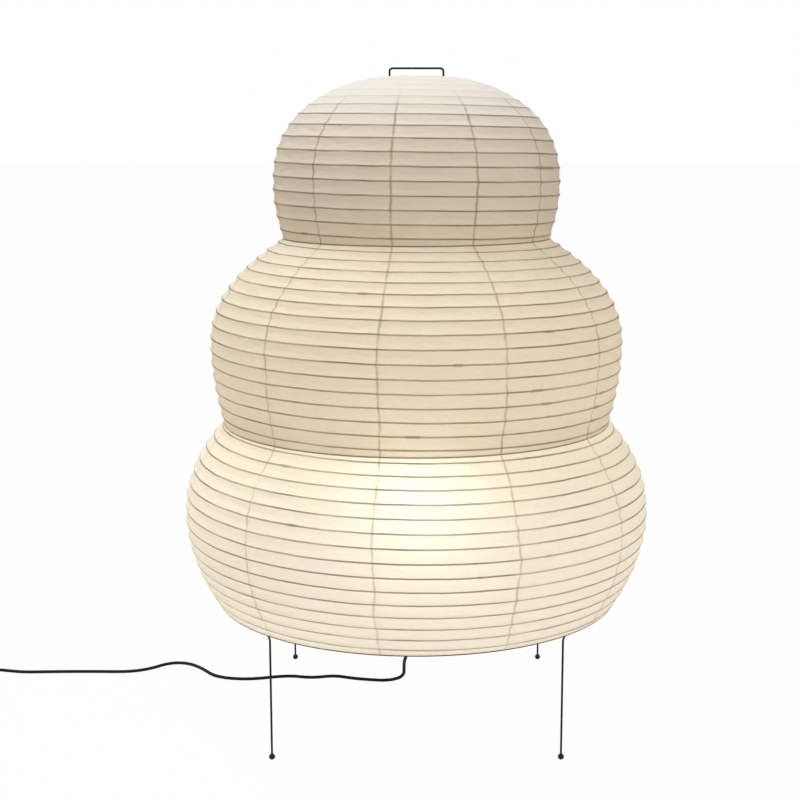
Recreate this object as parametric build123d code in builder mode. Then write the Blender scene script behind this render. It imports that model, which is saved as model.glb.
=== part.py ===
from build123d import *
import math
import os

# Paper lamp: a three-tier paper shade on spiral bamboo ribs, held open by a wire stretcher with
# the carrying handle at its top, on a ring with four wire legs and ball feet. A screw bulb stands
# in a lampholder on the cross bar, and the mains cord lies on the floor.
# Millimetres, +Z up, origin on the floor under the lamp's axis, front at -Y.

os.makedirs("parts", exist_ok=True)

# Stand
base_ring_radius = 203.0
base_ring_wire = 2.4
base_ring_level = 127.4
leg_wire = 2.0
leg_radius = 196.2
leg_kink_level = 119.5
leg_kink_turn = 1.5
leg_bend = 3.0
foot_diameter = 6.0
foot_flat = 0.5
foot_hole_floor = 1.2
cross_bar_width = 16.0
cross_bar_thickness = 2.0
weld_gap = 0.2
fit_gap = 0.05

# Stretcher
stretcher_wire = 2.0
stretcher_foot_x = 92.0
stretcher_upright = 30.0
stretcher_bend = 3.0
shoulder_x = 36.0
handle_weld_x = 31.4
handle_half_width = 26.3
handle_rise = 10.2
socket_outside = 5.0
socket_height = 14.0

# Shade, each tier from its upper edge over its belly to its lower edge
mouth_radius = 30.0
mouth_level = 646.5
top_belly_radius = 142.0
top_belly_level = 542.0
upper_waist_radius = 132.5
upper_waist_level = 490.5
middle_belly_radius = 206.0
middle_belly_level = 387.0
lower_waist_radius = 194.0
lower_waist_level = 307.5
bottom_belly_radius = 234.0
bottom_belly_level = 216.0
hem_overhang = 1.0
hem_gap = 0.4
crown_height_power = 2.5
crown_width_power = 1.7
upper_side_power = 2.2
lower_side_power = 1.9
paper_thickness = 0.5
paper_gap = 0.25
waist_gap = 0.4
gore_count = 11
seam_gap = 0.2
seam_angle = -99.5
rib_diameter = 1.4
rib_pitch = 13.2
rib_end_angle = -15.0
rib_top_margin = 9.0
rib_edge_margin = 4.0
hoop_diameter = 2.0
waist_hoop_diameter = 1.6
upper_points = 7
lower_points = 5

# Lampholder
nipple_diameter = 10.0
nipple_bore = 6.4
nipple_below_bar = 10.0
nipple_above_bar = 6.0
washer_diameter = 20.0
washer_thickness = 1.0
nut_across_flats = 14.0
nut_thickness = 4.0
holder_diameter = 39.0
holder_wall = 2.5
cap_foot_diameter = 26.0
cap_height = 14.0
holder_height = 33.0
holder_ring_diameter = 46.0
holder_ring_height = 8.0
holder_ring_below_top = 5.0
holder_ring_chamfer = 1.3
contact_block_height = 8.0
contact_block_lift = 1.0
block_gap = 0.2
screw_shell_bore = 27.2
screw_shell_wall = 0.5
screw_shell_below_top = 1.5
leaf_thickness = 0.5
leaf_width = 6.0
leaf_reach = 10.0
leaf_rise = 2.2

# Bulb
bulb_seat_gap = 0.2
tip_diameter = 9.0
tip_height = 1.6
insulator_height = 4.0
bulb_cap_diameter = 26.4
bulb_cap_wall = 0.5
bulb_cap_height = 20.0
globe_diameter = 60.0
globe_above_tip = 67.0
glass_thickness = 0.8
neck_diameter = 24.0
neck_overlap = 5.0
globe_shoulder_angle = -40.0
stem_diameter = 8.0
stem_height = 34.0
filament_diameter = 1.8
filament_length = 30.0
filament_count = 4

# Cord and what is on it
cord_diameter = 3.6
floor_gap = 0.1
relief_length = 24.0
relief_top_diameter = 11.0
relief_end_diameter = 5.6
switch_length = 62.0
switch_width = 24.0
switch_base_height = 6.5
switch_cover_height = 8.5
switch_wall = 1.6
switch_corner = 5.0
rocker_length = 18.0
rocker_width = 10.0
rocker_gap = 0.5
rocker_tilt = 7.0
rocker_pivot_drop = 3.2
rocker_end_rise = 1.4
rocker_dip_rise = 0.5
rocker_hub_diameter = 6.0
rocker_pin_diameter = 2.0
lug_thickness = 1.6
screw_spacing = 46.0
screw_diameter = 2.5
screw_head_diameter = 4.4
screw_head_height = 1.6
screw_length = 9.0
boss_diameter = 5.4
coil_layers = 4
coil_layer_turns = 1.75
coil_climb_turns = 0.5
coil_middle_diameter = 41.4
coil_step = 4.7
coil_layer_height = 4.4
tie_thickness = 0.8
tie_width = 6.0
tie_gap = 0.3
tie_corner = 2.0
plug_length = 36.0
plug_width = 26.0
plug_thickness = 13.7
plug_corner = 4.0
plug_neck_length = 16.0
plug_neck_diameter = 8.0
plug_pin_diameter = 4.0
plug_pin_spacing = 19.0
plug_pin_length = 18.0
plug_pin_tip = 1.0

# The cord's lead leaves the strain relief straight down, reaches the floor behind the axis and
# wanders left; its tail runs from the switch to the coil, and its end from the coil to the plug.
switch_entry = (-490.0, 88.4)
square_run = 14.0
tail_run = 44.0
end_run = 46.0

bar_top = base_ring_level + cross_bar_thickness / 2
bar_bottom = base_ring_level - cross_bar_thickness / 2
nipple_bottom = bar_bottom - nipple_below_bar
cord_exit_level = nipple_bottom - relief_length
cord_rest = cord_diameter / 2 + floor_gap
rib_depth = paper_thickness + paper_gap + rib_diameter / 2


def write(part, label):
    """Label a finished piece and write its file."""
    part.label = label
    export_step(part, f"parts/{label}.step")


def upright(angle):
    """Vertical plane through the lamp's axis: local x runs outward at the angle, local y runs up."""
    turn = math.radians(angle)
    outward = (math.cos(turn), math.sin(turn), 0)
    return Plane((0, 0, 0), x_dir=outward, z_dir=(math.sin(turn), -math.cos(turn), 0))


def square_to(spot, way):
    """Plane at a spot, facing along a direction."""
    return Plane(origin=spot, z_dir=way)


def cord_radii(points):
    """Bend radius at each inner point of a cord's route, as large as its shorter run allows."""
    radii = []
    for before, here, after in zip(points, points[1:], points[2:]):
        arriving = Vector(here) - Vector(before)
        leaving = Vector(after) - Vector(here)
        half_turn = math.radians(arriving.get_angle(leaving)) / 2
        radii.append(0.45 * min(arriving.length, leaving.length) / math.tan(half_turn))
    return radii


def least_gap(path, diameter, turn_length):
    """Least gap that a wound tube leaves to itself, measured on points along its middle line."""
    points = []
    travelled = []
    so_far = 0.0
    for edge in path.edges():
        for step in range(6):
            points.append(edge.position_at(step / 6))
            travelled.append(so_far + edge.length * step / 6)
        so_far += edge.length
    least = math.inf
    for first, spot in enumerate(points):
        for second in range(first + 1, len(points)):
            if travelled[second] - travelled[first] > turn_length / 2:
                least = min(least, (points[second] - spot).length)
    return least - diameter


def winding_arcs(place, start, end, stations, lead):
    """Draw a winding: two tangent arcs between stations, with a straight lead at each end."""
    small = (end - start) / stations / 1000
    spots = []
    ways = []
    for station in range(stations + 1):
        turn = start + (end - start) * station / stations
        spots.append(place(turn))
        ways.append((place(min(turn + small, end)) - place(max(turn - small, start))).normalized())
    Line(spots[0] - ways[0] * lead, spots[0])
    for here, there, leaving, arriving in zip(spots, spots[1:], ways, ways[1:]):
        across = there - here
        both = leaving + arriving
        bend = 2 * (1 - leaving.dot(arriving))
        reach = (math.sqrt(across.dot(both) ** 2 + bend * across.dot(across)) - across.dot(both)) / bend
        near = here + leaving * reach
        far = there - arriving * reach
        joint = (near + far) * 0.5
        TangentArc(here, joint, tangent=leaving)
        TangentArc(joint, there, tangent=far - near)
    Line(spots[-1], spots[-1] + ways[-1] * lead)


# Base ring, which carries the paper's hem
with BuildPart() as base_ring:
    with BuildSketch(Plane.XZ):
        with Locations((base_ring_radius, base_ring_level)):
            Circle(base_ring_wire / 2)
    revolve(axis=Axis.Z)
write(base_ring.part, "base_ring")

# Cross bar, welded inside the ring, with the hole for the lampholder's nipple
bar_half_length = base_ring_radius - base_ring_wire / 2 - weld_gap
bar_end = math.sqrt(bar_half_length**2 - (cross_bar_width / 2) ** 2)
with BuildPart() as cross_bar:
    with BuildSketch(Plane.XY.offset(bar_bottom)):
        Rectangle(2 * bar_end, cross_bar_width)
        Circle(nipple_diameter / 2 + fit_gap, mode=Mode.SUBTRACT)
    extrude(amount=cross_bar_thickness)
write(cross_bar.part, "cross_bar")

# Legs, each kinked outward and a little towards the front or the rear to end under the ring, and
# the ball feet pressed on them
foot_level = foot_diameter / 2 - foot_flat
leg_corners = {
    "rear_right": (45, leg_kink_turn),
    "rear_left": (135, -leg_kink_turn),
    "front_left": (225, leg_kink_turn),
    "front_right": (315, -leg_kink_turn),
}
for corner, (angle, turn) in leg_corners.items():
    leg_spot = upright(angle).from_local_coords(Vector(leg_radius, 0, 0))
    ring_plane = upright(angle + turn)
    kink_out = ring_plane.from_local_coords(Vector(base_ring_radius, 0, 0)) - leg_spot
    leg_plane = Plane(leg_spot, x_dir=kink_out, z_dir=kink_out.cross(Vector(0, 0, 1)))
    kink_run = Vector(kink_out.length, base_ring_level - leg_kink_level)
    lean = abs(kink_out.dot(ring_plane.z_dir)) / kink_run.length
    ring_reach = (base_ring_wire / 2 + weld_gap + lean * leg_wire / 2) / math.sqrt(1 - lean**2)
    leg_top = Vector(kink_out.length, base_ring_level) - kink_run.normalized() * ring_reach
    with BuildPart() as leg:
        with BuildLine(leg_plane) as leg_line:
            FilletPolyline(
                (0, foot_hole_floor),
                (0, leg_kink_level),
                (leg_top.X, leg_top.Y),
                radius=leg_bend,
            )
        with BuildSketch(square_to(leg_line.wire() @ 0, leg_line.wire() % 0)):
            Circle(leg_wire / 2)
        sweep(path=leg_line.wire())
    write(leg.part, f"{corner}_leg")

    foot_spot = leg_plane.from_local_coords((0, foot_level, 0))
    hole_spot = leg_plane.from_local_coords((0, foot_hole_floor, 0))
    with BuildPart() as foot:
        with Locations(foot_spot):
            Sphere(foot_diameter / 2)
        split(bisect_by=Plane.XY, keep=Keep.TOP)
        with BuildSketch(Plane(origin=hole_spot)):
            Circle(leg_wire / 2 + fit_gap)
        extrude(amount=foot_diameter, mode=Mode.SUBTRACT)
    write(foot.part, f"{corner}_foot")

# Top hoop of the shade, under the paper's mouth
top_hoop_level = mouth_level - paper_thickness - paper_gap - hoop_diameter / 2
with BuildPart() as top_hoop:
    with BuildSketch(Plane.XZ):
        with Locations((mouth_radius, top_hoop_level)):
            Circle(hoop_diameter / 2)
    revolve(axis=Axis.Z)
write(top_hoop.part, "top_hoop")

# Stretcher: a bent wire on each side, from the cross bar up to a shoulder under the top hoop
shoulder_level = top_hoop_level - hoop_diameter / 2 - weld_gap - stretcher_wire / 2
handle_level = shoulder_level + handle_rise + stretcher_wire
for side, direction in {"left": -1, "right": 1}.items():
    with BuildPart() as stretcher:
        with BuildLine(Plane.XZ) as stretcher_line:
            FilletPolyline(
                (direction * stretcher_foot_x, bar_top),
                (direction * stretcher_foot_x, bar_top + stretcher_upright),
                (direction * shoulder_x, shoulder_level),
                (direction * (handle_weld_x + weld_gap / 2), shoulder_level),
                radius=stretcher_bend,
            )
        with BuildSketch(square_to((direction * stretcher_foot_x, 0, bar_top), (0, 0, 1))):
            Circle(stretcher_wire / 2)
        sweep(path=stretcher_line.wire())
    write(stretcher.part, f"{side}_stretcher")

# Handle, a bent wire welded end to end between the two shoulders
handle_side = [
    (handle_weld_x - weld_gap / 2, shoulder_level),
    (handle_half_width, shoulder_level),
    (handle_half_width, handle_level),
]
with BuildPart() as handle:
    with BuildLine(Plane.XZ) as handle_line:
        left_side = [(-x, z) for x, z in handle_side]
        FilletPolyline(*left_side, *reversed(handle_side), radius=stretcher_bend)
    with BuildSketch(square_to(handle_line.wire() @ 0, handle_line.wire() % 0)):
        Circle(stretcher_wire / 2)
    sweep(path=handle_line.wire())
write(handle.part, "top_handle")

# Sockets on the cross bar that hold the stretcher's ends
for side, direction in {"left": -1, "right": 1}.items():
    with BuildPart() as stretcher_socket:
        with BuildSketch(Plane.XY.offset(bar_top)):
            with Locations((direction * stretcher_foot_x, 0)):
                Circle(socket_outside / 2)
                Circle(stretcher_wire / 2 + fit_gap, mode=Mode.SUBTRACT)
        extrude(amount=socket_height)
    write(stretcher_socket.part, f"{side}_stretcher_socket")

# Shade: each tier's profile swells from its edges to its belly by a power curve


def half_profile(edge, belly, height_power, width_power, count):
    """Points of half a tier's profile, from its edge to its belly."""
    points = []
    for step in range(count):
        turn = math.pi / 2 * (1 - step / (count - 1))
        rise = math.sin(turn) ** (2 / height_power)
        swell = math.cos(turn) ** (2 / width_power)
        radius = edge[0] + (belly[0] - edge[0]) * swell
        level = belly[1] + (edge[1] - belly[1]) * rise
        points.append((radius, level))
    return points


def tier_profile(upper_edge, belly, lower_edge, height_power, width_power):
    """A tier's outer line of radius and level, one smooth curve from its upper edge to its lower."""
    upper = half_profile(upper_edge, belly, height_power, width_power, upper_points)
    lower = half_profile(lower_edge, belly, lower_side_power, 1, lower_points)
    with BuildLine() as outline:
        Spline(*upper, *lower[-2::-1])
    return outline.edge()


def inside(profile, along, depth):
    """Radius and level at a depth inside a tier's profile, a given way down along it."""
    spot = profile.position_at(along, position_mode=PositionMode.LENGTH)
    way = profile.tangent_at(along, position_mode=PositionMode.LENGTH)
    return spot + Vector(way.Y, -way.X) * depth


hem_radius = base_ring_radius + hem_overhang
hem_level = base_ring_level + base_ring_wire / 2 + hem_gap
half_waist = waist_gap / 2
tiers = {
    "top": (
        (mouth_radius, mouth_level),
        (top_belly_radius, top_belly_level),
        (upper_waist_radius, upper_waist_level + half_waist),
        crown_height_power,
        crown_width_power,
        rib_top_margin,
    ),
    "middle": (
        (upper_waist_radius, upper_waist_level - half_waist),
        (middle_belly_radius, middle_belly_level),
        (lower_waist_radius, lower_waist_level + half_waist),
        upper_side_power,
        1,
        rib_edge_margin,
    ),
    "bottom": (
        (lower_waist_radius, lower_waist_level - half_waist),
        (bottom_belly_radius, bottom_belly_level),
        (hem_radius, hem_level),
        upper_side_power,
        1,
        rib_edge_margin,
    ),
}
for tier, (upper_edge, belly, lower_edge, height_power, width_power, rib_margin) in tiers.items():
    profile = tier_profile(upper_edge, belly, lower_edge, height_power, width_power)
    inner_steps = upper_points + lower_points
    inner_ways = [profile.length * step / inner_steps for step in range(inner_steps + 1)]
    inner = [inside(profile, way, paper_thickness) for way in inner_ways]

    # Paper: separate gores, each a strip of the tier from edge to edge
    gore_arc = 360 / gore_count - math.degrees(seam_gap / belly[0])
    with BuildPart() as gore:
        with BuildSketch(Plane.XZ):
            with BuildLine():
                add(profile)
                Spline(*inner)
                Line(profile @ 0, inner[0])
                Line(profile @ 1, inner[-1])
            make_face()
        revolve(axis=Axis.Z, revolution_arc=gore_arc)
    with BuildPart() as paper:
        with PolarLocations(0, gore_count, start_angle=seam_angle):
            add(gore.part)
    write(paper.part, f"{tier}_paper")

    # Rib: one bamboo strip wound in a spiral under the paper, falling counter-clockwise
    rib_start = rib_margin
    rib_run = profile.length - rib_margin - rib_edge_margin
    rib_turns = rib_run / rib_pitch

    def rib_place(turn):
        """Middle of the rib after a number of turns."""
        spot = inside(profile, rib_start + rib_pitch * turn, rib_depth)
        angle = math.radians(rib_end_angle + 360 * (turn - rib_turns))
        return Vector(spot.X * math.cos(angle), spot.X * math.sin(angle), spot.Y)

    with BuildPart() as rib:
        with BuildLine() as rib_line:
            winding_arcs(rib_place, 0, rib_turns, math.ceil(4 * rib_turns), rib_diameter)
        with BuildSketch(square_to(rib_line.wire() @ 0, rib_line.wire() % 0)):
            Circle(rib_diameter / 2)
        sweep(path=rib_line.wire())
    write(rib.part, f"{tier}_rib")
    rib_gap = least_gap(rib_line, rib_diameter, 2 * math.pi * upper_edge[0])
    print(f"{tier} rib: {rib_turns:.2f} turns, least gap to itself {rib_gap:.2f} mm")

# Waist hoops, inside the folds between the tiers
waists = {
    "upper": (upper_waist_radius, upper_waist_level),
    "lower": (lower_waist_radius, lower_waist_level),
}
for waist, (waist_radius, waist_level) in waists.items():
    hoop_radius = waist_radius - paper_thickness - paper_gap - waist_hoop_diameter / 2
    with BuildPart() as waist_hoop:
        with BuildSketch(Plane.XZ):
            with Locations((hoop_radius, waist_level)):
                Circle(waist_hoop_diameter / 2)
        revolve(axis=Axis.Z)
    write(waist_hoop.part, f"{waist}_waist_hoop")

# Lampholder, clamped to the cross bar by a threaded nipple, washer and nut
with BuildPart() as nipple:
    with BuildSketch(Plane.XY.offset(nipple_bottom)):
        Circle(nipple_diameter / 2)
        Circle(nipple_bore / 2, mode=Mode.SUBTRACT)
    extrude(amount=nipple_below_bar + cross_bar_thickness + nipple_above_bar)
write(nipple.part, "threaded_nipple")

with BuildPart() as washer:
    with BuildSketch(Plane.XY.offset(bar_bottom - washer_thickness)):
        Circle(washer_diameter / 2)
        Circle(nipple_diameter / 2 + fit_gap, mode=Mode.SUBTRACT)
    extrude(amount=washer_thickness)
write(washer.part, "nipple_washer")

with BuildPart() as nut:
    with BuildSketch(Plane.XY.offset(bar_bottom - washer_thickness - nut_thickness)):
        RegularPolygon(nut_across_flats / 2, 6, major_radius=False)
        Circle(nipple_diameter / 2 + fit_gap, mode=Mode.SUBTRACT)
    extrude(amount=nut_thickness)
write(nut.part, "nipple_nut")

holder_radius = holder_diameter / 2
cap_top = bar_top + cap_height
nipple_hole = nipple_diameter / 2 + fit_gap
with BuildPart() as holder_cap:
    with BuildSketch(Plane.XZ):
        with BuildLine():
            Polyline(
                (holder_radius, cap_top),
                (holder_radius - holder_wall, cap_top),
                (cap_foot_diameter / 2 - holder_wall, bar_top + holder_wall),
                (nipple_hole, bar_top + holder_wall),
                (nipple_hole, bar_top),
                (cap_foot_diameter / 2, bar_top),
            )
            RadiusArc((cap_foot_diameter / 2, bar_top), (holder_radius, cap_top), -2 * cap_height)
        make_face()
    revolve(axis=Axis.Z)
write(holder_cap.part, "holder_cap")

holder_top = cap_top + holder_height
block_bottom = cap_top + contact_block_lift
block_top = block_bottom + contact_block_height
shell_outside = screw_shell_bore / 2 + screw_shell_wall
block_radius = holder_radius - holder_wall - block_gap
with BuildPart() as holder_body:
    with BuildSketch(Plane.XZ):
        with BuildLine():
            Polyline(
                (holder_radius, cap_top),
                (holder_radius, holder_top),
                (shell_outside + block_gap, holder_top),
                (shell_outside + block_gap, block_top + block_gap),
                (holder_radius - holder_wall, block_top + block_gap),
                (holder_radius - holder_wall, cap_top),
                close=True,
            )
        make_face()
    revolve(axis=Axis.Z)
write(holder_body.part, "holder_body")

with BuildPart() as holder_ring:
    with BuildSketch(Plane.XY.offset(holder_top - holder_ring_below_top - holder_ring_height)):
        Circle(holder_ring_diameter / 2)
        Circle(holder_radius + fit_gap, mode=Mode.SUBTRACT)
    extrude(amount=holder_ring_height)
    rims = holder_ring.edges().filter_by(GeomType.CIRCLE).sort_by(SortBy.RADIUS)
    chamfer(rims[-2:], holder_ring_chamfer)
write(holder_ring.part, "holder_ring")

with BuildPart() as contact_block:
    with BuildSketch(Plane.XY.offset(block_bottom)):
        Circle(block_radius)
    extrude(amount=contact_block_height)
write(contact_block.part, "contact_block")

with BuildPart() as screw_shell:
    with BuildSketch(Plane.XY.offset(block_top)):
        Circle(shell_outside)
        Circle(screw_shell_bore / 2, mode=Mode.SUBTRACT)
    extrude(amount=holder_top - screw_shell_below_top - block_top)
write(screw_shell.part, "screw_shell")

with BuildPart() as centre_contact:
    with BuildSketch(Plane.XZ):
        with BuildLine():
            Polyline(
                (-leaf_reach, block_top),
                (-leaf_reach, block_top + leaf_thickness),
                (-leaf_reach / 2, block_top + leaf_thickness),
                (0, block_top + leaf_rise + leaf_thickness),
                (leaf_width / 2, block_top + leaf_rise + leaf_thickness),
                (leaf_width / 2, block_top + leaf_rise),
                (0, block_top + leaf_rise),
                (-leaf_reach / 2, block_top),
                close=True,
            )
        make_face()
    extrude(amount=leaf_width / 2, both=True)
write(centre_contact.part, "centre_contact")

# Bulb: tip contact, insulator, screw cap, opal globe, and the lit stem inside
tip_bottom = block_top + leaf_rise + leaf_thickness + bulb_seat_gap
tip_top = tip_bottom + tip_height
bulb_cap_bottom = tip_top + insulator_height
bulb_cap_top = bulb_cap_bottom + bulb_cap_height
with BuildPart() as bulb_tip:
    with BuildSketch(Plane.XZ):
        with BuildLine():
            Polyline(
                (0, tip_top),
                (tip_diameter / 2, tip_top),
                (tip_diameter / 2 - tip_height, tip_bottom),
                (0, tip_bottom),
                close=True,
            )
        make_face()
    revolve(axis=Axis.Z)
write(bulb_tip.part, "bulb_tip")

with BuildPart() as bulb_insulator:
    with BuildSketch(Plane.XZ):
        with BuildLine():
            Polyline(
                (0, tip_top),
                (tip_diameter / 2 + tip_height, tip_top),
                (bulb_cap_diameter / 2 - bulb_cap_wall, bulb_cap_bottom),
                (0, bulb_cap_bottom),
                close=True,
            )
        make_face()
    revolve(axis=Axis.Z)
write(bulb_insulator.part, "bulb_insulator")

with BuildPart() as bulb_cap:
    with BuildSketch(Plane.XY.offset(bulb_cap_bottom)):
        Circle(bulb_cap_diameter / 2)
        Circle(bulb_cap_diameter / 2 - bulb_cap_wall, mode=Mode.SUBTRACT)
    extrude(amount=bulb_cap_height)
write(bulb_cap.part, "bulb_cap")

globe_level = tip_bottom + globe_above_tip
neck_bottom = bulb_cap_top - neck_overlap
neck_radius = neck_diameter / 2
globe_radius = globe_diameter / 2


def globe_outline(depth):
    """Half outline of the globe and its neck, a depth inside the glass, open along the axis."""
    globe = globe_radius - depth
    neck = neck_radius - depth
    shoulder_turn = math.radians(globe_shoulder_angle)
    side_turn = (shoulder_turn + math.pi / 2) / 2
    shoulder = (globe * math.cos(shoulder_turn), globe_level + globe * math.sin(shoulder_turn))
    Line((0, neck_bottom + depth), (neck, neck_bottom + depth))
    Line((neck, neck_bottom + depth), (neck, bulb_cap_top))
    TangentArc((neck, bulb_cap_top), shoulder, tangent=(0, 1))
    side = (globe * math.cos(side_turn), globe_level + globe * math.sin(side_turn))
    ThreePointArc(shoulder, side, (0, globe_level + globe))
    Line((0, globe_level + globe), (0, neck_bottom + depth))


with BuildPart() as bulb_glass:
    with BuildSketch(Plane.XZ):
        with BuildLine():
            globe_outline(0)
        make_face()
        with BuildLine():
            globe_outline(glass_thickness)
        make_face(mode=Mode.SUBTRACT)
    revolve(axis=Axis.Z)
write(bulb_glass.part, "bulb_glass")

stem_bottom = neck_bottom + glass_thickness
stem_top = stem_bottom + stem_height
with BuildPart() as bulb_stem:
    with BuildSketch(Plane.XZ):
        with BuildLine():
            Polyline(
                (0, stem_bottom),
                (stem_diameter, stem_bottom),
                (stem_diameter / 2, stem_bottom + stem_diameter),
                (stem_diameter / 4, stem_top),
                (0, stem_top),
                close=True,
            )
        make_face()
    revolve(axis=Axis.Z)
write(bulb_stem.part, "bulb_stem")

filament_circle = (stem_diameter + filament_diameter) / 2 + fit_gap
with BuildPart() as bulb_filaments:
    with BuildSketch(Plane.XY.offset(stem_bottom + stem_diameter)):
        with PolarLocations(filament_circle, filament_count):
            Circle(filament_diameter / 2)
    extrude(amount=filament_length)
write(bulb_filaments.part, "bulb_filaments")

# Strain relief under the nipple
with BuildPart() as strain_relief:
    with BuildSketch(Plane.XY.offset(nipple_bottom)):
        Circle(relief_top_diameter / 2)
    with BuildSketch(Plane.XY.offset(cord_exit_level)):
        Circle(relief_end_diameter / 2)
    loft()
write(strain_relief.part, "strain_relief")


def cord_tube(points, label):
    """A stretch of the cord along its route, with its radii and its volume printed."""
    radii = cord_radii(points)
    with BuildPart() as tube:
        with BuildLine() as route:
            FilletPolyline(*points, radius=radii)
        with BuildSketch(square_to(route.wire() @ 0, route.wire() % 0)):
            Circle(cord_diameter / 2)
        sweep(path=route.wire())
    write(tube.part, label)
    plain = math.pi * (cord_diameter / 2) ** 2 * route.wire().length
    print(f"{label}: {route.wire().length:.0f} mm, least radius {min(radii):.1f} mm,", end=" ")
    print(f"volume {tube.part.volume / plain:.4f} of section times length")
    print("  radii", " ".join(f"{radius:.0f}" for radius in radii))


switch_axis = switch_base_height
cord_tube(
    [
        (0, 0, cord_exit_level),
        (0, 0, 0.81 * cord_exit_level),
        (-7, 14, 0.6 * cord_exit_level),
        (-13, 33, 0.41 * cord_exit_level),
        (-13.5, 47, 0.254 * cord_exit_level),
        (-13.5, 55.5, 0.135 * cord_exit_level),
        (-20, 61.5, 0.06 * cord_exit_level),
        (-34, 64.5, cord_rest + floor_gap),
        (-52, 67.5, cord_rest),
        (-70, 71.5, cord_rest),
        (-91, 80.5, cord_rest),
        (-116, 72.5, cord_rest),
        (-142, 81, cord_rest),
        (-185, 67, cord_rest),
        (-222, 75.5, cord_rest),
        (-239, 101, cord_rest),
        (-258.5, 120, cord_rest),
        (-280, 120.5, cord_rest),
        (-297, 102.5, cord_rest),
        (-319, 91.5, cord_rest),
        (-360, 92.9, cord_rest),
        (-408, 92.2, cord_rest),
        (-438, 90.6, cord_rest),
        (-458, 89, 4.6),
        (switch_entry[0] + square_run, switch_entry[1], switch_axis),
        (switch_entry[0], switch_entry[1], switch_axis),
    ],
    "cord_lead",
)

# Inline switch: two shells, a rocker on its pin, and two screws from below
switch_middle = switch_entry[0] - switch_length / 2
switch_line = switch_entry[1]
switch_top = switch_base_height + switch_cover_height
pivot_level = switch_top - rocker_pivot_drop
rocker_opening = rocker_width / 2 + rocker_gap
lug_outside = rocker_opening + lug_thickness
screw_places = [(switch_middle + side * screw_spacing / 2, switch_line) for side in (-1, 1)]
inner_corner = switch_corner - switch_wall
cavity_length = screw_spacing - boss_diameter - 2 * rocker_gap
cavity_width = switch_width - 2 * switch_wall

with BuildPart() as switch_base:
    with BuildSketch():
        with Locations((switch_middle, switch_line)):
            RectangleRounded(switch_length, switch_width, switch_corner)
    extrude(amount=switch_base_height)
    fillet(switch_base.edges().group_by(Axis.Z)[0], switch_wall / 2)
    with BuildSketch(Plane.XY.offset(switch_wall)):
        with Locations((switch_middle, switch_line)):
            RectangleRounded(cavity_length, cavity_width, inner_corner)
    extrude(amount=switch_base_height, mode=Mode.SUBTRACT)
    with BuildSketch():
        with Locations(*screw_places):
            Circle(screw_head_diameter / 2 + fit_gap)
    extrude(amount=screw_head_height, mode=Mode.SUBTRACT)
    with BuildSketch():
        with Locations(*screw_places):
            Circle(screw_diameter / 2 + fit_gap)
    extrude(amount=switch_base_height, mode=Mode.SUBTRACT)
write(switch_base.part, "switch_base")

with BuildPart() as switch_cover:
    with BuildSketch(Plane.XY.offset(switch_base_height)):
        with Locations((switch_middle, switch_line)):
            RectangleRounded(switch_length, switch_width, switch_corner)
    extrude(amount=switch_cover_height)
    fillet(switch_cover.edges().group_by(Axis.Z)[-1], switch_wall)
    with BuildSketch(Plane.XY.offset(switch_base_height)):
        with Locations((switch_middle, switch_line)):
            RectangleRounded(cavity_length, cavity_width, inner_corner)
    extrude(amount=switch_cover_height - switch_wall, mode=Mode.SUBTRACT)
    with BuildSketch(Plane.XY.offset(switch_base_height)):
        with Locations((switch_middle, switch_line)):
            Rectangle(rocker_length + 2 * rocker_gap, 2 * rocker_opening)
    extrude(amount=switch_cover_height, mode=Mode.SUBTRACT)
    with BuildSketch(Plane.XY.offset(pivot_level - rocker_hub_diameter / 2)):
        lug_middle = rocker_opening + lug_thickness / 2
        with Locations(*[(switch_middle, switch_line + side * lug_middle) for side in (-1, 1)]):
            Rectangle(rocker_hub_diameter, lug_thickness)
    extrude(amount=switch_top - switch_wall - pivot_level + rocker_hub_diameter / 2)
    with BuildSketch(Plane.XZ.offset(-switch_line)):
        with Locations((switch_middle, pivot_level)):
            Circle(rocker_pin_diameter / 2 + fit_gap)
    extrude(amount=lug_outside, both=True, mode=Mode.SUBTRACT)
    with BuildSketch(Plane.XY.offset(switch_base_height)):
        with Locations(*screw_places):
            Circle(screw_diameter / 2 + fit_gap)
    extrude(amount=screw_length + screw_head_height - switch_base_height, mode=Mode.SUBTRACT)
write(switch_cover.part, "switch_cover")

tilt = math.radians(rocker_tilt)
rocker_plane = Plane(
    origin=(switch_middle, switch_line, pivot_level),
    x_dir=(math.cos(tilt), 0, math.sin(tilt)),
    z_dir=(0, -1, 0),
)
half_rocker = rocker_length / 2
rocker_top = rocker_pivot_drop + rocker_end_rise
rocker_dip = rocker_pivot_drop + rocker_dip_rise
rocker_underside = rocker_pivot_drop - switch_wall
with BuildPart() as switch_rocker:
    with BuildSketch(rocker_plane):
        with BuildLine():
            Polyline(
                (half_rocker, rocker_underside),
                (half_rocker, rocker_top),
                (0, rocker_dip),
                (-half_rocker, rocker_top),
                (-half_rocker, rocker_underside),
                close=True,
            )
        make_face()
        Circle(rocker_hub_diameter / 2)
        Circle(rocker_pin_diameter / 2 + fit_gap, mode=Mode.SUBTRACT)
    extrude(amount=rocker_width / 2, both=True)
write(switch_rocker.part, "switch_rocker")

with BuildPart() as rocker_pin:
    with BuildSketch(rocker_plane):
        Circle(rocker_pin_diameter / 2)
    extrude(amount=lug_outside, both=True)
write(rocker_pin.part, "rocker_pin")

with BuildPart() as switch_screws:
    with BuildSketch():
        with Locations(*screw_places):
            Circle(screw_head_diameter / 2)
    extrude(amount=screw_head_height)
    with BuildSketch(Plane.XY.offset(screw_head_height)):
        with Locations(*screw_places):
            Circle(screw_diameter / 2)
    extrude(amount=screw_length)
write(switch_screws.part, "switch_screws")

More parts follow.
